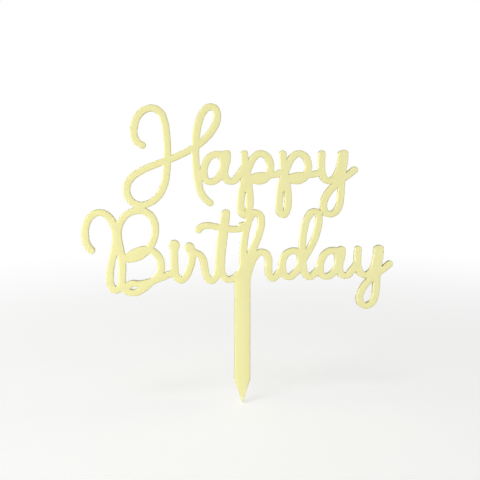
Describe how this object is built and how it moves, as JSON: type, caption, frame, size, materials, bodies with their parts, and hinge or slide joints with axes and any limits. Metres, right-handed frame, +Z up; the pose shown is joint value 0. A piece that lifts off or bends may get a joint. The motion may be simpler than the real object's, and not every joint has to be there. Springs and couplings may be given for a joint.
{
  "type": "cake topper",
  "caption": "Flat script greeting in two joined lines of round pen strokes, cut from pale yellow acrylic sheet, standing on one pointed flat stake that is pushed into a cake.",
  "frame": {"origin": "middle of the stake, across and through the sheet, at the height where it enters the cake", "axes": "+X along the lettering, in reading direction seen from the front, +Y through the sheet to its back, +Z up out of the cake"},
  "size_m": [0.1498, 0.003, 0.1435],
  "materials": {
    "acrylic": "opaque pale yellow acrylic sheet, satin gloss, laser-cut edges"
  },
  "bodies": {
    "root": {"happy_H": "acrylic", "happy_a": "acrylic", "happy_p1": "acrylic", "happy_p2": "acrylic", "happy_y": "acrylic", "birthday_B": "acrylic", "birthday_i": "acrylic", "birthday_r": "acrylic", "birthday_t": "acrylic", "birthday_h": "acrylic", "birthday_d": "acrylic", "birthday_a": "acrylic", "birthday_y": "acrylic", "stake": "acrylic"}
  },
  "joints": []
}
